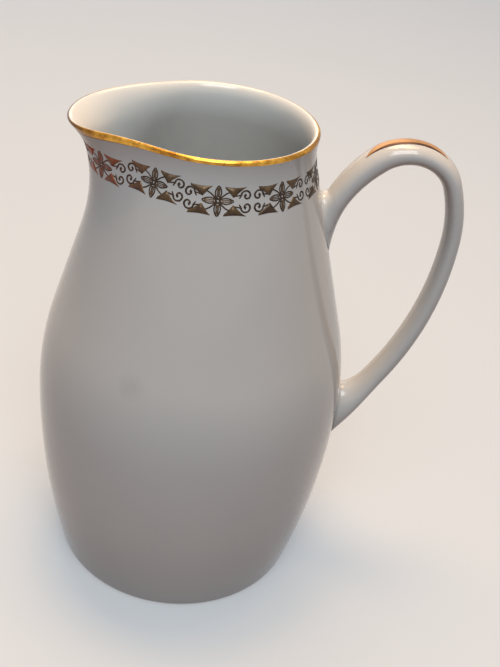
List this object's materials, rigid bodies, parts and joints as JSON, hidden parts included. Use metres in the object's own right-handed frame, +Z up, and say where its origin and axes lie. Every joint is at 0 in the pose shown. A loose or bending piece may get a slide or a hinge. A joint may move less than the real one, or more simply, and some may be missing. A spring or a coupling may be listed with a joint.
{
  "type": "milk jug",
  "caption": "Round-bellied glazed porcelain milk jug with a flared lip, a broad pouring spout and a tall looped handle.",
  "frame": {"origin": "centre of the bounding box's bottom, in the plane of the foot; the vessel's own axis stands 15.5 mm from it towards -X", "axes": "+Z up, towards the mouth; -X towards the spout, +X towards the handle; Y across, the jug is alike on both sides of the XZ plane"},
  "size_m": [0.1411, 0.11, 0.175],
  "materials": {
    "glaze": "glossy pale lilac-grey glaze on porcelain"
  },
  "bodies": {
    "root": {"jug": "glaze"}
  },
  "joints": []
}
